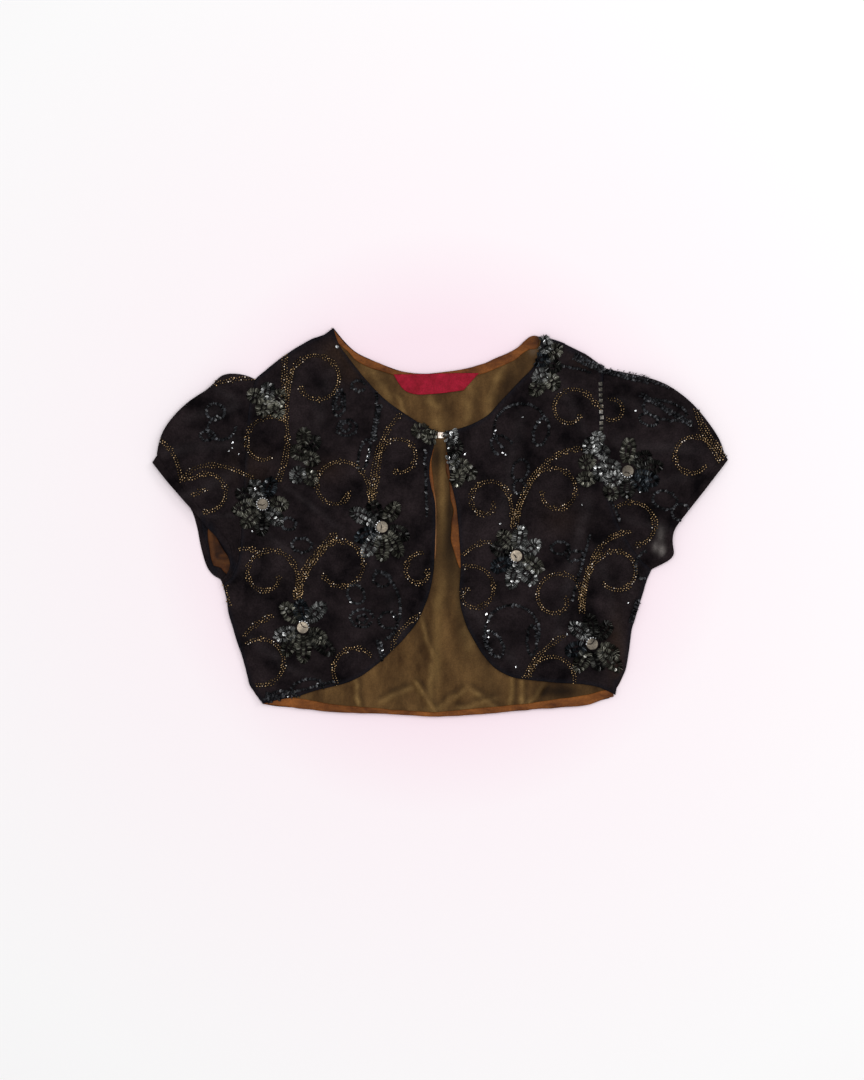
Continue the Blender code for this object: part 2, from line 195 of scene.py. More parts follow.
def crumple(x, y, layer, size):
    """Uneven noise over the plan, with lumps of about size millimetres."""
    return noise.fractal(Vector((x, y, layer)) / size, 0.8, 2.1, 3)


def linked(name, data):
    made = bpy.data.objects.new(name, data)
    bpy.context.scene.collection.objects.link(made)
    return made


def ease(t):
    t = min(1.0, max(0.0, t))
    return t * t * (3 - 2 * t)


# Materials


def add(tree, kind, settings=None, **inputs):
    made = tree.nodes.new("ShaderNode" + kind)
    for key, value in (settings or {}).items():
        setattr(made, key, value)
    for key, value in inputs.items():
        numbered = key[0] == "i" and key[1:].isdigit()
        socket = made.inputs[int(key[1:]) if numbered else key.replace("_", " ")]
        if isinstance(value, bpy.types.NodeSocket):
            tree.links.new(value, socket)
        else:
            socket.default_value = value
    return made


def material(name, **sockets):
    made = bpy.data.materials.new(name)
    made.use_nodes = True
    shader = made.node_tree.nodes["Principled BSDF"]
    for key, value in sockets.items():
        shader.inputs[key.replace("_", " ")].default_value = value
    return made, made.node_tree, shader


def ramp(tree, factor, *stops):
    made = tree.nodes.new("ShaderNodeValToRGB")
    tree.links.new(factor, made.inputs["Fac"])
    elements = made.color_ramp.elements
    while len(elements) < len(stops):
        elements.new(0.5)
    for element, (at, colour) in zip(elements, stops):
        element.position = at
        element.color = (*colour, 1)
    return made.outputs["Color"]


def blend(tree, factor, first, second, mode="MIX"):
    made = tree.nodes.new("ShaderNodeMix")
    made.data_type = "RGBA"
    made.blend_type = mode
    for socket, value in ((made.inputs["Factor"], factor), (made.inputs[6], first), (made.inputs[7], second)):
        if isinstance(value, bpy.types.NodeSocket):
            tree.links.new(value, socket)
        elif isinstance(value, tuple):
            socket.default_value = (*value, 1)
        else:
            socket.default_value = value
    return made.outputs[2]


def threads(tree, place, pitch):
    """Two crossing sets of threads, as one height."""
    sets = [
        add(
            tree, "TexWave", {"bands_direction": axis}, Vector=place,
            Scale=WAVE_SCALE / (pitch * MM), Distortion=1.5, Detail=2.0, Detail_Scale=1.5,
        ).outputs["Fac"]
        for axis in ("X", "Y")
    ]
    return add(tree, "Math", {"operation": "MULTIPLY"}, i0=sets[0], i1=sets[1]).outputs[0]


def add_bump(tree, shader, height, distance, strength=0.6):
    bump = add(tree, "Bump", Height=height, Distance=distance, Strength=strength)
    tree.links.new(bump.outputs["Normal"], shader.inputs["Normal"])


def faded(tree, colour, attribute, other):
    """Goes over to the other colour where the piece's attribute is 1."""
    amount = add(tree, "Attribute", {"attribute_name": attribute}).outputs["Fac"]
    return blend(tree, amount, colour, other)


def cloth_material(
    name, dark, light, tint, crest, pitch, mottling, sockets,
    streaked=(1.0, 1.0, 1.0), band=None, painted_glow=None, grainy=0.15,
):
    """Woven cloth: mottled from dark to light, with a painted sheen on its creases, painted shade and painted
    light where the piece says, and its "tint" and so on.
    """
    made, tree, shader = material(name, **sockets)
    place = add(tree, "TexCoord").outputs["Object"]
    stretched = add(tree, "Mapping", Vector=place, Scale=streaked).outputs["Vector"]
    patches = add(tree, "TexNoise", Vector=stretched, Scale=mottling, Detail=5.0, Roughness=0.65).outputs["Fac"]
    weave = threads(tree, place, pitch)
    grain = add(tree, "TexNoise", Vector=place, Scale=700.0, Detail=2.0).outputs["Fac"]
    colour = ramp(tree, patches, (0.34, dark), (0.68, light))
    # A painted sheen on the crests
    colour = faded(tree, colour, "crest", crest)
    colour = faded(tree, colour, "tint", tint)
    # Painted shade
    colour = faded(tree, colour, "shade", tuple(0.25 * c for c in dark))
    # On a sleeve hem the band is a painted reflection, and the last colour is painted light
    for attribute, other in (("band", band), ("painted_glow", painted_glow)):
        if other:
            colour = faded(tree, colour, attribute, other)
    for height, low, high in ((weave, 0.7, 1.25), (grain, 1 - grainy, 1 + grainy)):
        colour = blend(tree, 1.0, colour, ramp(tree, height, (0.3, (low,) * 3), (0.7, (high,) * 3)), "MULTIPLY")
    tree.links.new(colour, shader.inputs["Base Color"])
    height = add(tree, "Math", {"operation": "ADD"}, i0=weave, i1=grain).outputs[0]
    add_bump(tree, shader, height, 0.00012)
    return made


def glitter_material(name, darkest, lightest, face, metallic, roughness):
    """Beads and sequins: each its own tone, most of them dark, with a face in painted shade below its raised
    edge's painted highlight, and a few painted glints.
    """
    made, tree, shader = material(name, Specular_IOR_Level=0.2, Metallic=metallic, Roughness=roughness)
    place_at = add(tree, "TexCoord").outputs["Object"]
    each = add(tree, "NewGeometry").outputs["Random Per Island"]
    # The last stop, near white, is a painted glint on a few of them
    shade = ramp(
        tree, each, (0.0, darkest), (0.45, blended(darkest, lightest, 0.2)),
        (0.78, blended(darkest, lightest, 0.55)), (0.93, lightest),
        (1.0, blended(lightest, (1.0, 1.0, 1.0), 0.5)),
    )
    # "rim" paints a highlight on a sequin's raised end and a bead's top and shade on the rest; on a disc it
    # holds the disc's own paleness
    rim = add(tree, "Attribute", {"attribute_name": "rim"}).outputs["Fac"]
    specks = add(tree, "TexNoise", Vector=place_at, Scale=1200.0, Detail=2.0).outputs["Fac"]
    blotches = add(tree, "TexNoise", Vector=place_at, Scale=95.0, Detail=3.0).outputs["Fac"]
    for factor, low, high in ((rim, face, 1.0), (specks, 0.5, 1.35), (blotches, 0.4, 1.5)):
        shade = blend(tree, 1.0, shade, ramp(tree, factor, (0.32, (low,) * 3), (0.68, (high,) * 3)), "MULTIPLY")
    tree.links.new(shade, shader.inputs["Base Color"])
    add_bump(tree, shader, specks, 0.00006)
    return made


def blended(first, second, share):
    return tuple(a + (b - a) * share for a, b in zip(first, second))


# Beads and sequins: (name, darkest, lightest, how light a face is next to its edge, which paints shade on the
# face and a highlight on the edge, metallic, roughness)
GLITTER = [
    ("gold_bead", (0.105, 0.065, 0.03), (0.57, 0.39, 0.2), 0.08, 0.9, 0.2),
    ("sequin_grey", (0.008, 0.008, 0.006), (0.62, 0.61, 0.5), 0.3, 0.5, 0.28),
    ("sequin_bright", (0.012, 0.014, 0.014), (0.97, 0.99, 0.97), 0.42, 0.6, 0.24),
    ("sequin_dark", (0.002, 0.002, 0.003), (0.19, 0.19, 0.17), 0.3, 0.5, 0.28),
    ("sequin_blue", (0.002, 0.003, 0.005), (0.2, 0.24, 0.28), 0.3, 0.5, 0.28),
    ("sequin_black", (0.01, 0.0103, 0.0125), (0.26, 0.27, 0.3), 0.3, 0.4, 0.3),
    ("sequin_silver", (0.4, 0.41, 0.42), (0.85, 0.87, 0.88), 1.0, 0.9, 0.15),
    ("sequin_pale", (0.03, 0.028, 0.022), (0.2, 0.18, 0.15), 0.6, 0.5, 0.3),
    ("pale_metal", (0.33, 0.275, 0.205), (0.52, 0.475, 0.41), 0.2, 0.3, 0.5),
    ("clasp", (0.46, 0.39, 0.34), (0.74, 0.66, 0.61), 1.0, 0.7, 0.3),
    ("dark_thread", (0.02, 0.014, 0.01), (0.05, 0.035, 0.025), 1.0, 0.0, 0.7),
]


def make_materials():
    looks = {}
    looks["georgette"] = cloth_material(
        "georgette", (0.0036, 0.0027, 0.0034), (0.0242, 0.0173, 0.0189), (0.042, 0.023, 0.013),
        (0.036, 0.03, 0.032), 0.8, 30.0,
        {"Roughness": 0.7, "Specular_IOR_Level": 0.015}, band=(0.009, 0.0095, 0.0135),
        painted_glow=(0.36, 0.33, 0.31), grainy=0.3,
    )
    looks["organza"] = cloth_material(
        "organza", (0.05, 0.0228, 0.0064), (0.162, 0.0865, 0.029), (0.13, 0.09, 0.06),
        (0.26, 0.155, 0.054), 0.7, 38.0,
        {"Roughness": 0.5, "Sheen_Weight": 0.02, "Sheen_Roughness": 0.4, "Specular_IOR_Level": 0.05},
        streaked=(1.0, 0.45, 1.0), painted_glow=(0.25, 0.15, 0.05),
    )
    looks["satin"] = cloth_material(
        "satin", (0.085, 0.023, 0.005), (0.3, 0.1, 0.02), (0.33, 0.16, 0.07), (0.4, 0.17, 0.05), 0.5, 60.0,
        {"Roughness": 0.42, "Specular_IOR_Level": 0.08}, streaked=(0.5, 1.0, 1.0),
    )
    looks["label"] = cloth_material(
        "label", (0.22, 0.006, 0.015), (0.42, 0.012, 0.038), (0.5, 0.08, 0.12), (0.5, 0.03, 0.08), 0.6, 80.0,
        {"Roughness": 0.55, "Specular_IOR_Level": 0.06},
    )
    for name, *facts in GLITTER:
        looks[name] = glitter_material(name, *facts)
    return looks


# Flat layers


def weighted(folds, x, y):
    """Soft ridges at a point of the plan: height in metres, and how near a crest and a hollow, to 1."""
    height, crest, hollow = 0.0, 0.0, 0.0
    for from_x, from_y, to_x, to_y, half_width, rise in folds:
        run_x, run_y = to_x - from_x, to_y - from_y
        squared = run_x**2 + run_y**2
        along = ((x - from_x) * run_x + (y - from_y) * run_y) / squared
        # The line wanders and its height varies, so that no two creases match
        wander = half_width * 0.8 * noise.noise(Vector((along * 2.2, from_x * 0.37, from_y * 0.11)))
        aside = ((x - from_x) * run_y - (y - from_y) * run_x) / math.sqrt(squared) + wander
        past = max(0.0, -along, along - 1) * math.sqrt(squared)
        near = math.exp(-((aside / half_width) ** 2) - (past / (2 * half_width)) ** 2)
        trough = math.exp(-(((aside - 1.7 * half_width) / half_width) ** 2) - (past / (2 * half_width)) ** 2)
        uneven = 0.75 + 0.5 * noise.noise(Vector((along * 3.1, from_y * 0.21, 4.0)))
        height += rise * MM * uneven * (near - 0.55 * trough)
        crest = max(crest, near * uneven * min(1.0, rise))
        hollow = max(hollow, trough * uneven * min(1.0, rise))
    return height, crest, hollow


def welded(node):
    shape = bmesh.new()
    shape.from_mesh(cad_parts[node].data)
    bmesh.ops.remove_doubles(shape, verts=shape.verts, dist=WELD)
    shape.normal_update()
    return shape


def outline_of(cap):
    """The corners round a cap, in order."""
    follows = {}
    for edge in cap.edges:
        if len(edge.link_faces) == 1:
            loop = next(loop for loop in edge.link_faces[0].loops if loop.edge == edge)
            follows[loop.vert] = loop.link_loop_next.vert
    ring = [next(iter(follows))]
    while len(ring) < len(follows):
        ring.append(follows[ring[-1]])
    return [vertex.co.xy.copy() for vertex in ring]


def smoothed(ring, step):
    """Points a step apart on a smooth line through the ring, which keeps its sharp corners."""
    count = len(ring)
    tangents = []
    for i in range(count):
        before, after = ring[i] - ring[i - 1], ring[(i + 1) % count] - ring[i]
        corner = before.angle(after, 0.0) > SHARP
        tangents.append(None if corner else (ring[(i + 1) % count] - ring[i - 1]) / 2)
    points = []
    for i in range(count):
        a, b = ring[i], ring[(i + 1) % count]
        chord = b - a
        into, out = (
            chord if tangent is None else tangent.normalized() * chord.length
            for tangent in (tangents[i], tangents[(i + 1) % count])
        )
        pieces = max(1, round(chord.length / step))
        for k in range(pieces):
            f = k / pieces
            points.append(
                a * (2 * f**3 - 3 * f**2 + 1) + into * (f**3 - 2 * f**2 + f)
                + b * (3 * f**2 - 2 * f**3) + out * (f**3 - f**2)
            )
    return points


def outward(ring):
    """The direction out of an anticlockwise ring at each of its points."""
    turns = [ring[(i + 1) % len(ring)] - ring[i - 1] for i in range(len(ring))]
    return [Vector((turn.y, -turn.x)).normalized() for turn in turns]


def inner_points(ring, step):
    """Points inside the ring: a row close to it that shapes the turned edge, then an even field."""
    edge = np.array([tuple(p) for p in ring])
    nxt = np.roll(edge, -1, axis=0)
    turn = nxt - np.roll(edge, 1, axis=0)
    inward = np.stack([-turn[:, 1], turn[:, 0]], axis=1)
    inward /= np.linalg.norm(inward, axis=1, keepdims=True) + 1e-12
    low, high = edge.min(axis=0), edge.max(axis=0)
    rows = np.arange(low[1], high[1], step * 0.866)
    field = [
        (x + (i % 2) * step / 2 + rng.uniform(-1, 1) * step * 0.12, y + rng.uniform(-1, 1) * step * 0.12)
        for i, y in enumerate(rows) for x in np.arange(low[0], high[0], step)
    ]
    near = np.concatenate([edge + inward * d * MM for d in (1.0, 2.2)])
    kept = []
    for points, clear in ((near, 0.8 * MM), (np.array(field), 2.2 * MM + 0.55 * step)):
        inside = np.zeros(len(points), bool)
        for (x0, y0), (x1, y1) in zip(edge, nxt):
            crosses = (y0 > points[:, 1]) != (y1 > points[:, 1])
            at = (x1 - x0) * (points[:, 1] - y0) / ((y1 - y0) or 1e-12) + x0
            inside ^= crosses & (points[:, 0] < at)
        distance = np.full(len(points), 1e9)
        for start in range(0, len(points), 2000):
            part = points[start:start + 2000]
            gaps = np.linalg.norm(part[:, None] - edge[None], axis=2)
            distance[start:start + 2000] = gaps.min(axis=1)
        kept.append(points[inside & (distance > clear)])
    return np.concatenate(kept)


def distances(ring, points):
    tree = KDTree(len(ring))
    for i, p in enumerate(ring):
        tree.insert((*p, 0), i)
    tree.balance()
    return np.array([tree.find((*p, 0))[2] for p in points])


def even_out(heights, edges, times):
    """Takes the CAD facets out of the heights."""
    for _ in range(times):
        total, count = np.zeros_like(heights), np.zeros_like(heights)
        for a, b in ((0, 1), (1, 0)):
            np.add.at(total, edges[:, a], heights[edges[:, b]])
            np.add.at(count, edges[:, a], 1)
        heights = 0.4 * heights + 0.6 * total / np.maximum(count, 1)
    return heights


def rolled(gap):
    """The height of a turned edge as a share of its most, at a gap from the edge in millimetres."""
    return math.exp(-((gap - 1.2) ** 2)) - 0.5 * math.exp(-((gap / 0.7) ** 2))


def shell(
    node, creases=(), turned=0.0, wobble=0.0, tints=(), shades=(), crinkle=0.0, crested=1.0, grow=0.0, painted_glows=(),
):
    """A thin sheet of cloth on the upper side of a flat CAD node, with its creases."""
    thick, step, look, slot = LAYERS[node]
    cap = welded(node)
    bmesh.ops.delete(cap, geom=[f for f in cap.faces if f.normal.z < UPPER_FACE], context="FACES")
    tree = BVHTree.FromBMesh(cap)
    ring = smoothed([plan(*p) for p in EDGES[node]] if node in EDGES else outline_of(cap), RING_STEP * MM)
    cap.free()
    ring = [
        p + out * grow * MM + Vector(noise.noise_vector(Vector((*p, 0)) * 90)[:2]) * wobble * MM
        for p, out in zip(ring, outward(ring))
    ]
    points = [*ring, *(Vector(p) for p in inner_points(ring, step * MM))]
    found = geometry.delaunay_2d_cdt(points, [], [list(range(len(ring)))], 1, 1e-7)
    flat, faces = found[0], found[2]
    heights = np.empty(len(flat))
    for i, p in enumerate(flat):
        spot = tree.ray_cast(Vector((*p, ABOVE)), -UP)[0] or tree.find_nearest(Vector((*p, 0.003)))[0]
        heights[i] = spot.z
    edges = np.array(sorted({tuple(sorted(pair)) for f in faces for pair in zip(f, f[1:] + f[:1])}))
    gaps = distances(ring, flat)
    heights = even_out(heights, edges, 14)
    tint, shade, crest, painted_glow = (np.zeros(len(flat)) for _ in range(4))
    for i, p in enumerate(flat):
        x, y = photo_place(p)
        lift, near, hollow = weighted(creases, x, y)
        # Painted shade from the patches, and in the hollow beside each crease
        shade[i] = sum(patch_share(row, x, y) for row in shades) + 0.45 * crested * hollow
        rough = crumple(x, y, 0, 11)
        calm = ease(gaps[i] / (6 * MM))
        heights[i] += (max(lift, LOWEST) + crinkle * MM * rough) * calm
        heights[i] += turned * MM * rolled(gaps[i] / MM)
        # A painted sheen along the crests
        crest[i] = crested * near * (0.6 + 0.6 * rough)
        tint[i] = sum(patch_share(row, x, y) for row in tints)
        # Painted highlights where the patches say
        painted_glow[i] = sum(patch_share(row, x, y) for row in painted_glows)
    mesh = bpy.data.meshes.new(node + "_cloth")
    mesh.from_pydata([(p.x, p.y, z) for p, z in zip(flat, heights)], [], faces)
    turned_edge = 0.6 * np.clip(1.2 - gaps / (4 * MM), 0, 1)
    shares = {"tint": tint, "shade": shade, "crest": crest, "band": turned_edge, "painted_glow": painted_glow}
    for name, values in shares.items():
        write_shares(mesh, name, values)
    mesh.validate()
    mesh.update()
    if sum(polygon.normal.z for polygon in mesh.polygons) < 0:
        mesh.flip_normals()
    mesh.shade_smooth()
    piece = place(node + "_cloth", mesh, look, slot)
    solidify = piece.modifiers.new("thickness", "SOLIDIFY")
    solidify.thickness = thick * MM
    solidify.offset = -1
    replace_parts(piece, node)
    return piece


def write_shares(mesh, name, values):
    values = np.clip(values, 0, 1).astype(np.float32)
    mesh.attributes.new(name, "FLOAT", "POINT").data.foreach_set("value", values)


def patch_share(row, x, y):
    """How much of a soft patch (x, y, half width, half height, share) a point has."""
    at_x, at_y, half_width, half_height, share = row
    return share * math.exp(-(((x - at_x) / half_width) ** 2) - ((y - at_y) / half_height) ** 2)


def place(name, mesh, look, slot=None):
    piece = linked(name, mesh)
    mesh.materials.clear()
    mesh.materials.append(LOOKS[look])
    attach(piece, "root")
    return piece


def snapped(piece, others, reach):
    """Closes the seam to the pieces that this one is sewn to: its points within reach move onto them."""
    tree = Ground(others).tree
    for vertex in piece.data.vertices:
        spot = tree.find_nearest(vertex.co, reach * MM)[0]
        if spot is not None:
            vertex.co = spot + (spot - vertex.co).normalized() * SEAM_OVERLAP * MM


def sleeve_shell(node, levels, crinkle):
    """A sleeve or its band: the CAD tube made smooth, with creases in its upper layer."""
    shape = welded(node)
    bmesh.ops.join_triangles(shape, faces=shape.faces, angle_face_threshold=3.1, angle_shape_threshold=3.1)
    mesh = bpy.data.meshes.new(node + "_coarse")
    shape.to_mesh(mesh)
    shape.free()
    coarse = linked(node + "_coarse", mesh)
    subdivision = coarse.modifiers.new("smooth", "SUBSURF")
    subdivision.levels = subdivision.render_levels = levels
    graph = bpy.context.evaluated_depsgraph_get()
    fine = bpy.data.meshes.new_from_object(coarse.evaluated_get(graph))
    bpy.data.objects.remove(coarse)
    fine.name = node + "_cloth"
    tint, crest, band, painted_glow = (np.zeros(len(fine.vertices)) for _ in range(4))
    for i, vertex in enumerate(fine.vertices):
        x, y = photo_place(vertex.co)
        upper = ease((vertex.co.z / MM - SLEEVE_TOP[0]) / SLEEVE_TOP[1])
        lift, near, _ = weighted(SLEEVE_CREASES, x, y)
        rough = crumple(x, y, 7, 12)
        vertex.co.z += (lift + crinkle * MM * rough) * upper
        # A painted sheen on the upper layer's crests
        crest[i] = 0.35 * near * upper
        tint[i] = upper * sum(patch_share(row, x, y) for row in SHEER)
        # A painted reflection along the hem's fold
        band[i] = 0.9 * weighted(SLEEVE_HEMS, x, y)[1]
        # Painted light where a single layer lets it through
        painted_glow[i] = upper * sum(patch_share(row, x, y) for row in VEILS)
    for name, values in (("tint", tint), ("crest", crest), ("band", band), ("painted_glow", painted_glow)):
        write_shares(fine, name, values)
    fine.shade_smooth()
    piece = place(node + "_cloth", fine, "georgette", "black_cloth")
    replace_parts(piece, node)
    return piece


# Where the cloth shows what is under it: (x, y, half width, half height, share)
SHEER = [
    (338, 352, 16, 12, 0.5),
    (352, 372, 14, 12, 0.35),
    (616, 650, 8, 34, 0.4),
    (250, 470, 22, 18, 0.2),
    (585, 360, 12, 8, 0.3),
    (330, 470, 16, 12, 0.2),
    (560, 520, 18, 16, 0.15),
]
# Painted light where a single layer lets the floor's light through: (x, y, half width, half height, share)
VEILS = [
    (660, 535, 3.5, 8, 0.16),
    (655, 547, 3, 4.5, 0.26),
    (661.5, 550.5, 3.2, 4.8, 0.42),
]
# Lines along the left sleeve's hem where its fold turns bluish grey, a painted reflection: (from x, y, to x, y,
# half width, height)
SLEEVE_HEMS = [
    (211, 529, 236, 570, 4.0, 1.0),
    (204, 520, 214, 570, 3.5, 1.0),
]
# The edges of what shows, anticlockwise, where they are finer than the CAD's
EDGES = {
    "neck_facing": [
        (336, 341), (347, 350), (358, 361), (372, 367.5), (389, 373), (400, 377), (413, 380.5), (430, 381),
        (460, 378.5), (480, 374), (501, 365.5), (514.5, 359), (523, 352.5), (529, 348.5), (534, 348.5),
        (537.5, 347), (539, 337.5), (534.5, 336.5), (530, 337.7), (517.5, 348.5), (497.5, 358.5),
        (477.5, 366.5), (458.5, 371), (430, 374.3), (412.5, 374), (394.5, 370.5), (376.5, 363),
        (360.5, 356.5), (348, 347.5), (332, 328.7),
    ],
    "label": [
        (393.5, 374.5), (399, 384), (404, 390), (411, 393.5), (420, 394.7), (440, 393.5), (463.5, 390.5),
        (479, 373.2), (450, 373.4), (420, 374.3),
    ],
    "front_facing_left": [
        (434.9, 562), (436.2, 545), (436.1, 527), (436.2, 507), (435.2, 495), (434.2, 489), (433.6, 482),
        (432.8, 474), (431.8, 468), (431.4, 461), (433.9, 449.5), (433, 449), (430.2, 458.5),
        (429.6, 467.5), (429, 478.5), (430, 487), (432.9, 493), (434.3, 507.5), (434.2, 527), (434.2, 545),
    ],
    "sleeve_lining_left": [
        (208.4, 527.4), (207.9, 533.2), (208.4, 540.8), (209.6, 547.5), (210.5, 554.2), (212, 560.9),
        (213.9, 565.7), (217.7, 566.7), (221.5, 568.1), (223.9, 571.5), (227.3, 574.3), (230.6, 571.5),
        (231.6, 565.7), (231.1, 560.9), (228.7, 557.1), (223.9, 550.4), (219.1, 541.8), (215.8, 536),
        (211.7, 529.4),
    ],
}
LOWEST = -0.3 * MM  # how far a crease may sink, so that no sheet dips through the next
LOOKS = make_materials()


def build_cloth():
    back = shell("back", crinkle=0.1)
    shell(
        "back_lining", LINING_CREASES, shades=LINING_SHADES, tints=[(533, 351, 4, 4.5, 0.7)], crinkle=0.4,
        painted_glows=LINING_GLOWS,
    )
    # The shade patch is a painted shadow at the neck facing's right end
    for facing, grow in (("neck_facing", 0.8), ("hem_facing", 0.45)):
        shell(facing, turned=0.2, wobble=0.5, shades=[(538, 341, 4.5, 7, 0.8)], crinkle=0.15, grow=grow)
    # The tint along the left facing's edge is a painted highlight on its fold, and the shade patches are
    # painted shade
    for facing in ("front_facing_left", "front_facing_right"):
        shell(
            facing, turned=0.2, wobble=0.3, shades=FACING_SHADES, tints=[(435.3, 528, 2.5, 34, 0.9)],
            crinkle=0.15,
        )
    shell("sleeve_lining_left", SLEEVE_LINING_CREASES, shades=SLEEVE_LINING_SHADES, crinkle=0.5)
    shell("label", turned=0.15, crinkle=0.15)
    carriers = [
        shell(front, FRONT_CREASES, turned=0.35, wobble=0.25, tints=SHEER, crinkle=0.35, crested=0.5)
        for front in ("front_left", "front_right")
    ]
    for side in ("left", "right"):
        sleeve = sleeve_shell(f"sleeve_{side}", 2, 0.4)
        snapped(sleeve, [back, *carriers[:2]], 1.5)
        band = sleeve_shell(f"sleeve_band_{side}", 2, 0.15)
        snapped(band, [sleeve], 1.1)
        carriers += [sleeve, band]
    return Ground(carriers)


# Embroidery

# Gold scrolls: (x, y, radius, start angle, turn, closing, power, base). The base is (x, y, heading) or None.
# Angles run anticlockwise from the right. The radius goes from 1 to "closing" of itself along the turn.
SCROLLS = [
    (317, 380, 26, 155, -309, 0.7, 1, (287, 400, 95)),
    (268, 446, 31.6, 58, 224, 0.38, 1, None),
    (399, 457, 19, 180, -287, 0.8, 1, (374, 500, 86)),
    (338, 488, 28, 60, 279, 0.42, 1, (371, 502, 100)),
    (341, 565, 24.4, 149, -300, 0.84, 1, (299, 597, 80)),
    (268, 575, 28.6, 12, 336, 0.4, 1, (297, 599, 95)),
    (261, 662, 23, 129, -228, 1, 1, None),
    (357, 669, 24.5, 219, -173, 0.8, 1, None),
    (421, 572, 19.7, 83, 290, 0.3, 1, None),
    (207, 492, 18, 122, -218, 1.1, 1, (184, 480.5, 30)),
    (571, 410, 23, 29, 294, 0.47, 1, (602, 409, 135)),
    (612, 410, 10.4, 107, -222, 1, 1, None),
    (555, 492, 26.5, 162, -339, 0.5, 1, (516, 520, 75)),
    (489, 502, 21, 9, 330, 0.2, 2.5, (513, 526, 95)),
    (616, 572, 21.5, 132, -269, 0.8, 1, (582, 606, 85)),
    (558, 598, 25, 55, 305, 0.3, 1.5, (581, 610, 95)),
    (471, 590, 24, 107, -310, 0.1, 2.5, None),
    (552, 679, 22.4, 175, -182, 1, 1, None),
    (692, 457, 20.6, 51, 276, 0.74, 1, (716, 452, 130)),
    (633, 527, 26, 130, -207, 0.7, 1, None),
]
# Gold stems: (x, y, heading, x, y, heading, rows of beads at the start, rows at the end)
STEMS = [
    (285, 355, -90, 283, 395, -95, 3, 2),
    (293, 369, -102, 286, 419, -92, 2, 2),
    (286, 419, -80, 279, 480, -110, 2, 3),
    (371, 502, 85, 400.4, 414.5, 45, 3, 2),
    (298, 599, 90, 335, 534.5, 50, 4, 3),
    (239, 549.5, 15, 260, 555.5, -60, 2, 2),
    (273.5, 615.5, 200, 245, 635, 230, 2, 2),
    (392, 653, 90, 420.5, 614, 35, 2, 2),
    (226, 585.5, -100, 229, 605, -80, 2, 2),
    (214, 384.5, 15, 253, 378.5, 0, 2, 2),
    (182.5, 482, 100, 160, 440, 150, 2, 2),
    (184, 478, 50, 212.5, 465.5, 0, 2, 2),
    (212.5, 465.5, 0, 253, 477.5, -20, 2, 2),
    (193, 495.5, 30, 206.5, 489.5, 20, 2, 2),
    (513.6, 528, 80, 579.6, 448.8, 5, 3, 2),
    (581.8, 612.8, 88, 629.3, 531.5, 5, 3, 2),
    (491.3, 542.3, 170, 463.7, 554.5, 220, 2, 2),
    (525, 678.7, 65, 563.4, 635.8, 30, 3, 2),
    (695, 409, -75, 722, 458, -50, 2, 6),
]
BEAD = {"length": 1.5, "width": 1.95, "along": 2.6, "across": 2.4, "turned": 24, "stray": 0.2}

# Flowers: a disc or None, then petals (x, y, tone, heading). One without a heading points away from its disc.
# Tones are g grey, w bright, d dark and b blue black.
FLOWERS = [
    ((382, 527), [
        (358, 514, "w"), (374, 508, "d"), (393, 510, "g"), (401, 534, "d"), (363, 536, "b"),
        (368, 550, "w"), (382, 553, "g"), (397, 549, "g"),
    ]),
    ((303, 627.5), [
        (288, 610, "g"), (301, 608, "b"), (319, 609, "w"), (283, 635, "w"), (288, 648, "g"),
        (304, 654, "g"), (319, 637, "g"), (327, 649, "d"),
    ]),
    ((263, 504), [
        (256, 488, "w"), (270, 486, "b"), (240, 508, "g"), (249, 521, "g"), (262, 527, "d"),
        (276, 518, "w"), (280, 504, "g"), (243, 495, "d"),
    ]),
    ((516, 556), [
        (505, 537, "g"), (520, 534, "w"), (533, 547, "w"), (499, 566, "b"), (513, 580, "w"),
        (529, 578, "w"), (536, 566, "g"), (499, 549, "d"),
    ]),
    ((592, 644), [
        (577, 628, "w"), (590, 622, "d"), (605, 629, "d"), (573, 650, "b"), (580, 664, "g"),
        (598, 662, "d"), (611, 652, "g"), (615, 664, "g"),
    ]),
    ((628, 471), [
        (628, 447, "g"), (643, 458, "d"), (654, 467, "d"), (641, 484, "b"), (627, 490, "d"),
        (613, 480, "w"), (608, 466, "w"), (650, 480, "b"),
    ]),
    (None, [
        (590, 446, "w", 60), (602, 452, "w", 120), (587, 462, "g", 200), (586, 479, "g", 180),
        (600, 472, "w", 270), (597, 440, "w", 90), (611, 492, "g", 300),
    ]),
    (None, [
        (256, 396, "g", 150), (268, 392, "w", 90), (279, 398, "g", 60), (264, 408, "g", 250),
        (277, 410, "g", 310),
    ]),
    (None, [
        (304, 437, "g", 90), (313, 444, "d", 40), (299, 453, "g", 160), (311, 459, "g", 330),
        (298, 475, "w", 250), (310, 477, "g", 300),
    ]),
    (None, [
        (545, 345, "w", 120), (554, 352, "g", 40), (541, 360, "b", 180), (552, 366, "d", 0),
        (541, 376, "w", 200), (552, 382, "g", 320), (537, 388, "g", 240),
    ]),
    (None, [
        (451, 436, "w", 90), (455, 449, "d", 60), (451, 462, "w", 200), (460, 466, "g", 0),
        (468, 472, "g", 320), (457, 478, "g", 270),
    ]),
    (None, [(421, 431, "g", 180), (431, 437, "g", 0)]),
]
PETAL = {"width": 16, "past": 9.5, "alone": 20, "pitch": 1.45, "across": 5.8, "along": 3.3, "lean": 54}
FLAT_SHARE = {"g": 0.03, "w": 0.12, "d": 0.01, "b": 0.02}  # of sequins that lie flat and catch the light

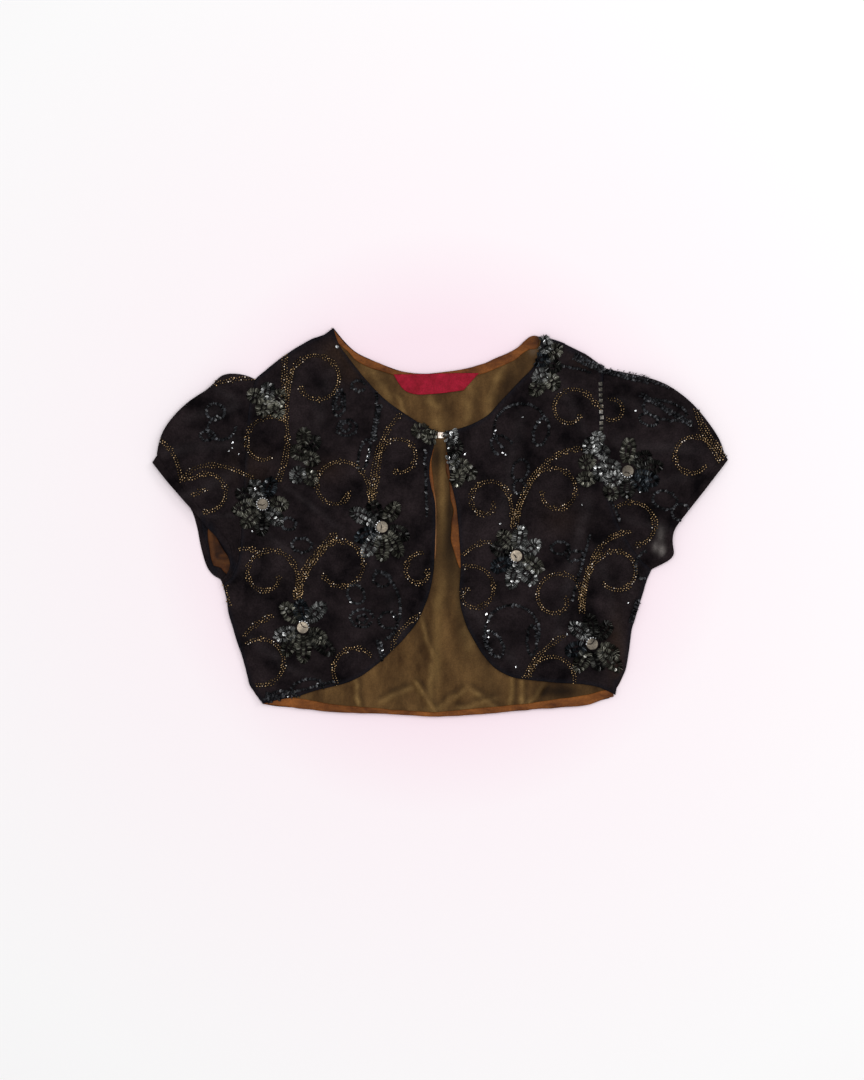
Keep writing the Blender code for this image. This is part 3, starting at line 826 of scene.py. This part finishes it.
# Black paisley outlines: (x, y, half width, half height, turned by), and start angle and turn if not closed
OUTLINES = [
    (339, 403, 6, 13, -5),
    (339, 402, 3, 8, -5),
    (347, 428, 10, 8, 10),
    (346, 427, 5, 4, 10),
    (359, 386, 7, 5, 0, 20, 300),
    (364, 455, 5, 16, -14),
    (382, 579, 9, 7, -10),
    (356, 594, 8, 10, 30),
    (362, 618, 11, 9, 0, 0, 330),
    (362, 619, 5, 4, 0),
    (374, 606, 26, 36, 8, -75, 150),
    (388, 620, 9, 8, 0, 0, 300),
    (216, 412, 9, 8, 0),
    (222, 428, 14, 12, 20, 90, 250),
    (208, 436, 7, 5, 0),
    (521, 429, 27, 25, 0, 20, 210),
    (541, 432, 7, 14, -15),
    (502, 446, 12, 9, -40, 60, 220),
    (520, 470, 8, 11, -20),
    (519, 487, 6, 7, 0),
    (512, 632, 27, 27, 0, -20, 240),
    (494, 644, 8, 14, 30),
    (532, 640, 5, 15, 0),
    (308, 688, 16, 9, 8),
    (280, 697, 12, 6, 10),
    (664, 500, 12, 9, -20),
    (680, 512, 9, 8, 0, 0, 300),
    (664, 411, 22, 9, -14, 0, 330),
    (648, 420, 9, 6, -20),
    (560, 548, 9, 6, 0),
    (575, 556, 8, 5, 20),
    (644, 565, 8, 14, -10, 90, 200),
    (302, 545, 10, 7, 0),
    (289, 524, 7, 6, 0),
]
# Runs of black sequins along edges: (x, y, x, y, rows)
RUNS = [
    (377, 391, 376, 440, 1),
    (380, 405, 372, 440, 2),
    (425, 450, 427, 516, 1),
    (574, 356, 600, 369, 3),
    (600, 369, 648, 381, 3),
    (648, 381, 668, 389, 1),
    (262, 700, 340, 680, 1),
    (266, 694, 300, 703, 2),
    (378, 640, 386, 668, 2),
    (612, 500, 620, 520, 1),
    (638, 600, 631, 622, 2),
    (590, 535, 572, 600, 1),
    (640, 395, 690, 425, 2),
    (560, 365, 590, 372, 1),
]
# Single bright sequins: (x, y, size)
GLINTS = [
    (232.5, 443, 3.4), (228.8, 451, 3), (244, 439.4, 2.4), (238.3, 454, 2.4), (368.9, 449.7, 3.6),
    (367.5, 456, 3), (522.4, 417.3, 2.6), (495.3, 430.5, 3.6), (539.3, 422.4, 2.6), (502.6, 453.2, 3.2),
    (516.5, 492.8, 4), (500.4, 523.6, 3.4), (635.3, 410.7, 3), (581.8, 504.5, 2.4), (486, 614.3, 4),
    (488.3, 630.4, 4), (515.9, 666.5, 3.2), (627.8, 602.8, 3.2), (252.5, 531.5, 3), (284, 633.5, 4.6),
    (382.3, 650, 3.6), (317.8, 683, 3.4), (288.5, 696.5, 3.4), (393.5, 616.3, 2.6), (350.8, 602, 3),
    (529.7, 585, 5), (566.5, 634.3, 4), (544, 341, 4), (547.5, 378, 3), (337.5, 347, 5), (256, 489, 4),
    (640, 492, 3.4), (450.5, 432.5, 4.8), (451, 435.5, 3.6), (448, 448.5, 3.6), (449, 458, 4),
    (465, 454.5, 3.4), (232, 448, 2.6), (369.5, 452.5, 2.6), (366, 461, 2.6), (494, 434, 2.8),
    (506, 455, 2.4), (487, 622, 3.2), (489, 637, 3),
]
DISC_RADIUS = 5.7
# How pale a disc is, where its small beads start and how far they turn, then the same for its slit's ends
DISCS = [
    (0.48, 115, 130, 115, 130),
    (0.62, 120, -120, 120, -120),
    (0.46, 0, 340, 20, 160),
    (0.7, 150, 120, 150, 120),
    (0.44, 60, 120, 60, 120),
    (0.38, 200, 110, 200, 110),
]
LADDER = {"from": (600.4, 384), "to": (601.8, 440), "count": 11, "size": 4.2}
GRIT = {"size": 3.1, "pitch": 1.25, "across": 2.6, "lean": 50, "wander": 0.45}


def arc(x, y, half_width, half_height, turned, start=0, turn=360, close=1.0, power=1.0, steps=60):
    """Points of a spiral round (x, y) in the plan."""
    points = []
    for i in range(steps + 1):
        t = i / steps
        angle = math.radians(start + turn * t)
        size = 1 + (close - 1) * t**power
        out = Vector((half_width * size * math.cos(angle), half_height * size * math.sin(angle)))
        out.rotate(Matrix.Rotation(math.radians(turned), 2))
        points.append(Vector((x + out.x, y - out.y)))
    return points


def bend(start, heading, end, arrival, steps=30):
    """Points of a smooth stem in the plan between two headings, in degrees."""
    start, end = Vector(start), Vector(end)
    reach = (end - start).length * 0.38
    handles = [
        Vector((math.cos(math.radians(angle)), -math.sin(math.radians(angle)))) * reach
        for angle in (heading, arrival)
    ]
    return list(geometry.interpolate_bezier(start, start + handles[0], end - handles[1], end, steps))


def resampled(path, pitch):
    """(point, direction, share of the way) every pitch along a path."""
    lengths = [0.0]
    for a, b in zip(path, path[1:]):
        lengths.append(lengths[-1] + (b - a).length)
    count = max(2, round(lengths[-1] / pitch))
    found, k = [], 0
    for i in range(count + 1):
        wanted = lengths[-1] * i / count
        while k < len(path) - 2 and lengths[k + 1] < wanted:
            k += 1
        f = (wanted - lengths[k]) / max(lengths[k + 1] - lengths[k], 1e-9)
        found.append((path[k].lerp(path[k + 1], f), (path[k + 1] - path[k]).normalized(), i / count))
    return found


class Ground:
    """The cloth that embroidery lies on."""

    def __init__(self, pieces):
        points, faces = [], []
        graph = bpy.context.evaluated_depsgraph_get()
        for piece in pieces:
            mesh = piece.evaluated_get(graph).to_mesh()
            faces += [tuple(v + len(points) for v in polygon.vertices) for polygon in mesh.polygons]
            points += [vertex.co.copy() for vertex in mesh.vertices]
        self.tree = BVHTree.FromPolygons(points, faces)

    def drop(self, at):
        """The cloth's point below a place of the plan and the way it faces, or two Nones beside it."""
        spot = plan(*at)
        found, up, _, _ = self.tree.ray_cast(Vector((*spot, ABOVE)), -UP)
        if found is None:
            return None, None
        return found, (up if up.z > 0 else -up)


def seat(ground, at, direction, size, lift=0.0, lean=0.0, yaw=0.0, roll=0.0):
    """Places a unit shape, x along the direction and z off the cloth, or gives None where no cloth is below.

    Size and lift are in millimetres, and angles in degrees.
    """
    spot, up = ground.drop(at)
    if spot is None:
        return None
    along = Vector((direction.x, -direction.y, 0))
    x = (along - up * along.dot(up)).normalized()
    axes = Matrix((x, up.cross(x), up)).transposed()
    turn = Matrix.Rotation(math.radians(yaw), 3, "Z") @ Matrix.Rotation(math.radians(lean), 3, "Y")
    turn = turn @ Matrix.Rotation(math.radians(roll), 3, "X")
    scale = Matrix.Diagonal(Vector(size) * MM)
    made = (axes @ turn @ scale).to_4x4()
    made.translation = spot + up * lift * MM
    return made


def lathe(rings, sides):
    """A closed shape round the X axis from (x, radius) rings."""
    points, faces = [], []
    for x, radius in rings:
        for k in range(sides):
            angle = 2 * math.pi * (k + 0.5) / sides
            points.append((x, radius * math.cos(angle), radius * math.sin(angle)))
    for ring in range(len(rings) - 1):
        for k in range(sides):
            a, b = ring * sides + k, ring * sides + (k + 1) % sides
            faces.append((a, a + sides, b + sides, b))
    faces.append(tuple(range(sides)))
    faces.append(tuple(range(len(points) - 1, len(points) - 1 - sides, -1)))
    return points, faces


def sequin(sides=8, cup=0.06, thick=0.05):
    """A cupped disc, 1 across, in the XY plane."""
    points = [(0, 0, -cup), (0, 0, -cup - thick)]
    for z in (0, -thick):
        points += [
            (0.5 * math.cos(2 * math.pi * k / sides), 0.5 * math.sin(2 * math.pi * k / sides), z)
            for k in range(sides)
        ]
    faces = []
    for k in range(sides):
        a, b = 2 + k, 2 + (k + 1) % sides
        faces += [(0, a, b), (1, b + sides, a + sides), (a, a + sides, b + sides, b)]
    return points, faces


BEAD_SHAPE = lathe([(-0.5, 0.2), (-0.24, 0.46), (0.24, 0.46), (0.5, 0.2)], 6)
SEQUIN_SHAPE = sequin()
SQUARE_SHAPE = sequin(sides=4, cup=0.06, thick=0.12)


def stamp(name, shape, placings, look, slot=None, smooth=False):
    """One mesh of many placings of a shape. "rim" is 1 at a sequin's raised end and on top of a smooth bead,
    where the material paints a highlight.
    """
    points, faces = np.array(shape[0]), shape[1]
    rim = np.clip(2.4 * points[:, 2] - 0.1 if smooth else 3 * points[:, 0] - 0.5, 0, 1)
    moves = np.array([np.array(m) for m in placings if m is not None])
    spots = points @ moves[:, :3, :3].transpose(0, 2, 1) + moves[:, None, :3, 3]
    mesh = bpy.data.meshes.new(name)
    mesh.from_pydata(
        spots.reshape(-1, 3).tolist(), [],
        [tuple(v + i * len(points) for v in face) for i in range(len(moves)) for face in faces],
    )
    mesh.attributes.new("rim", "FLOAT", "POINT").data.foreach_set("value", np.tile(rim, len(moves)))
    if smooth:
        mesh.shade_smooth()
    return place(name, mesh, look, slot)


def bead_rows(ground, path, rows_start, rows_end):
    found = []
    most = max(rows_start, rows_end) + 1
    for k in range(most):
        for at, direction, share in resampled(path, BEAD["along"]):
            # A third row comes and goes along a rope
            uneven = 1.1 * noise.noise(Vector((*at, 0)) / 7)
            rows = rows_start + (rows_end - rows_start) * share + uneven + 0.25
            if k >= round(rows):
                continue
            aside = Vector((-direction.y, direction.x))
            offset = (k - (round(rows) - 1) / 2) * BEAD["across"] + rng.gauss(0, BEAD["stray"])
            size = rng.uniform(0.8, 1.15)
            slide = 0.5 * (k % 2) * BEAD["along"] + rng.gauss(0, 0.2)
            found.append(seat(
                ground, at + aside * offset + direction * slide, direction,
                (BEAD["length"] * size, BEAD["width"] * size, BEAD["width"] * size),
                lift=BEAD["width"] * 0.42, yaw=rng.gauss(0, BEAD["turned"]), lean=rng.gauss(0, 6),
            ))
    return found


def build_scrolls(ground):
    placed = {"left": [], "right": []}
    for x, y, radius, start, turn, close, power, base in SCROLLS:
        path = arc(x, y, radius, radius, 0, start, turn, close, power)
        if base:
            first = path[1] - path[0]
            arrival = math.degrees(math.atan2(-first.y, first.x))
            path = bend(base[:2], base[2], path[0], arrival) + path[1:]
        placed["left" if x < MIDDLE_X else "right"] += bead_rows(ground, path, 2, 2)
    for x0, y0, heading, x1, y1, arrival, rows_start, rows_end in STEMS:
        path = bend((x0, y0), heading, (x1, y1), arrival)
        placed["left" if x0 < MIDDLE_X else "right"] += bead_rows(ground, path, rows_start, rows_end)
    for side, placings in placed.items():
        stamp(f"gold_scrolls_{side}", BEAD_SHAPE, placings, "gold_bead", "metal", smooth=True)


def petal(ground, x, y, heading, length, flat_share):
    """A ribbed petal of leaning sequins: a row round its edge, and one up its middle."""
    half, width = length / 2, PETAL["width"] / 2
    rim = arc(x, y, half - 2.4, width - 2.4, heading, -160, 320)
    out = Vector((math.cos(math.radians(heading)), -math.sin(math.radians(heading))))
    middle = [Vector((x, y)) + out * share * half for share in (-0.8, -0.1, 0.4)]
    found = []
    for path, across, lift in ((rim, PETAL["across"], 1.6), (middle, PETAL["across"] * 0.7, 1.0)):
        for at, direction, _ in resampled(path, PETAL["pitch"]):
            size = rng.uniform(0.8, 1.1)
            flat = rng.random() < flat_share
            reach = (2.2, 3.6) if flat else (PETAL["along"] * size, across * size)
            found.append(seat(
                ground, at + Vector((rng.gauss(0, 0.2), rng.gauss(0, 0.2))), direction, (*reach, 4.0),
                lift=lift + rng.uniform(-0.15, 0.2) + flat,
                lean=rng.gauss(0, 5) if flat else -PETAL["lean"] + rng.gauss(0, 8),
                yaw=rng.gauss(0, 7), roll=rng.gauss(0, 6),
            ))
    return found


def build_flowers(ground):
    looks = {"g": "sequin_grey", "w": "sequin_bright", "d": "sequin_dark", "b": "sequin_blue"}
    placed = {look: [] for look in looks.values()}
    for disc, petals in FLOWERS:
        for x, y, tone, *given in petals:
            if given:
                heading, length = given[0], PETAL["alone"]
            else:
                # It reaches from the disc's edge to a little past its own place
                out = Vector((x - disc[0], y - disc[1]))
                heading = math.degrees(math.atan2(-out.y, out.x))
                length = out.length + PETAL["past"] - DISC_RADIUS
                x, y = Vector(disc) + out.normalized() * (DISC_RADIUS + length / 2)
            placed[looks[tone]] += petal(ground, x, y, heading + rng.gauss(0, 6), length, FLAT_SHARE[tone])
    for look, placings in placed.items():
        stamp(f"{look}_petals", SEQUIN_SHAPE, placings, look)


def gritty(ground, path, rows=1):
    """Black sequins along a path, each its own way up."""
    found = []
    for k in range(rows):
        for at, direction, _ in resampled(path, GRIT["pitch"]):
            offset = (k - (rows - 1) / 2) * GRIT["across"] + rng.gauss(0, GRIT["wander"])
            aside = Vector((-direction.y, direction.x)) * offset
            size = GRIT["size"] * rng.uniform(0.75, 1.15)
            found.append(seat(
                ground, at + aside, direction, (size * 0.8, size, 3.0), lift=1.2 + rng.uniform(0, 0.3),
                lean=-GRIT["lean"] + rng.gauss(0, 9), yaw=rng.gauss(0, 9), roll=rng.gauss(0, 8),
            ))
    return found


def build_outlines(ground):
    placings = []
    for row in OUTLINES:
        placings += gritty(ground, arc(*row))
    for x0, y0, x1, y1, rows in RUNS:
        placings += gritty(ground, [Vector((x0, y0)), Vector((x1, y1))], rows)
    stamp("black_outlines", SEQUIN_SHAPE, placings, "sequin_black")
    glints = [
        seat(
            ground, (x, y), Vector((1, 0)), (size * 0.75, size * rng.uniform(0.3, 0.6), 3.0), lift=1.8,
            lean=rng.gauss(0, 7), roll=rng.gauss(0, 7), yaw=rng.uniform(0, 180),
        )
        for x, y, size in GLINTS
    ]
    stamp("bright_sequins", SEQUIN_SHAPE, glints, "sequin_silver", "metal")
    start, end = Vector(LADDER["from"]), Vector(LADDER["to"])
    steps = [
        seat(
            ground, start.lerp(end, i / (LADDER["count"] - 1)), Vector((1, 0)),
            (LADDER["size"] * 1.2,) * 2 + (6.0,),
            lift=1.4, yaw=45 + rng.gauss(0, 5), lean=rng.gauss(0, 8),
        )
        for i in range(LADDER["count"])
    ]
    stamp("seam_ladder", SQUARE_SHAPE, steps, "sequin_pale", "metal")


def build_discs(ground):
    """Flat pale discs at the flowers' centres, each with a thread across it and beads on part of its rim."""
    beads, threads_over = [], []
    for number, (paleness, start, turn, slit_start, slit_turn) in enumerate(DISCS, 1):
        node = f"disc_{number}"
        low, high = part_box(node)
        middle = (low + high) / 2
        at = Vector(photo_place(middle))
        shape = bmesh.new()
        bmesh.ops.create_cone(shape, cap_ends=True, segments=36, radius1=0.98, radius2=1.0, depth=0.5)
        top = [face for face in shape.faces if face.normal.z > 0.9]
        for inset, rise in ((0.06, 0.06), (0.3, 0.03), (0.3, -0.02)):
            bmesh.ops.inset_region(shape, faces=top, thickness=inset, depth=rise)
        mesh = bpy.data.meshes.new(node + "_metal")
        shape.to_mesh(mesh)
        shape.free()
        mesh.transform(seat(
            ground, at, Vector((1, 0)), (DISC_RADIUS, DISC_RADIUS, 2.4), lift=2.6,
            lean=rng.gauss(0, 3), roll=rng.gauss(0, 3),
        ))
        write_shares(mesh, "rim", np.full(len(mesh.vertices), paleness))
        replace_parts(place(node + "_metal", mesh, "pale_metal", "metal"), node)
        toothed = arc(*at, DISC_RADIUS + 0.5, DISC_RADIUS + 0.5, 0, start, turn)
        for spot, direction, _ in resampled(toothed, 2.4):
            beads.append(seat(ground, spot, direction, (1.7, 2.1, 1.7), lift=3.2, yaw=rng.gauss(0, 12)))
        # The slit bows away from the toothed side
        ends = arc(*at, DISC_RADIUS, DISC_RADIUS, 0, slit_start, slit_turn, steps=2)
        chord = [ends[0].lerp(ends[2], 0.06 + 0.88 * i / 20) for i in range(21)]
        bow = (at - ends[1]) * 0.35
        slit = [p + bow * math.sin(math.pi * i / 20) for i, p in enumerate(chord)]
        for spot, direction, _ in resampled(slit, 1.1):
            threads_over.append(seat(ground, spot, direction, (1.5, rng.uniform(1.0, 1.7), 0.6), lift=3.5))
    stamp("disc_beads", BEAD_SHAPE, beads, "sequin_silver", "metal", smooth=True)
    stamp("disc_threads", BEAD_SHAPE, threads_over, "dark_thread", smooth=True)


# Stage


def build_stage():
    mesh = bpy.data.meshes.new("floor")
    half = 4.0
    mesh.from_pydata(
        [(-half, -half, FLOOR_Z), (half, -half, FLOOR_Z), (half, half, FLOOR_Z), (-half, half, FLOOR_Z)], [],
        [(0, 1, 2, 3)],
    )
    floor = linked("floor", mesh)
    made, tree, shader = material("floor", Roughness=0.9)
    place_at = add(tree, "TexCoord").outputs["Object"]
    mapped = add(tree, "Mapping", Vector=place_at, Scale=(1.6, 1.6, 1.6)).outputs["Vector"]
    glow = add(tree, "TexGradient", {"gradient_type": "SPHERICAL"}, Vector=mapped).outputs["Fac"]
    colour = ramp(
        tree, glow, (0.0, (0.97, 0.97, 0.975)), (0.53, (0.963, 0.895, 0.93)), (0.7, (0.935, 0.775, 0.85)),
    )
    tree.links.new(colour, shader.inputs["Base Color"])
    mesh.materials.append(made)


def area_light(name, location, size, power):
    """A soft lamp that looks at the frame's origin."""
    data = bpy.data.lights.new(name, "AREA")
    data.size = size
    data.energy = power
    lamp = linked(name, data)
    lamp.location = location
    lamp.rotation_euler = (-Vector(location)).to_track_quat("-Z", "Y").to_euler()
    lamp.visible_camera = False


def build_light_and_camera():
    world = bpy.data.worlds.new("studio")
    bpy.context.scene.world = world
    world.use_nodes = True
    background = world.node_tree.nodes["Background"]
    background.inputs["Color"].default_value = (1.0, 0.985, 0.985, 1)
    background.inputs["Strength"].default_value = 0.42
    area_light("overhead", (0.05, 0.1, 3.2), 2.4, 62.5)
    area_light("key", (1.5, 0.9, 1.7), 0.9, 8.3)
    camera = linked("camera", bpy.data.cameras.new("camera"))
    camera.data.lens = 150
    camera.data.sensor_width = 36
    height = 1.08
    x, y = plan(432, 540)
    camera.location = (x, y, height * camera.data.lens / camera.data.sensor_width)
    camera.data.clip_end = 50
    bpy.context.scene.camera = camera
    bpy.context.scene.view_settings.view_transform = "Standard"


build_light_and_camera()
build_stage()
ground = build_cloth()
build_scrolls(ground)
build_flowers(ground)
build_outlines(ground)
build_discs(ground)

for name, look in (("clasp_plate", "clasp"), ("clasp_loop", "dark_thread")):
    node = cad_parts[name]
    node.data.materials.clear()
    node.data.materials.append(LOOKS[look])
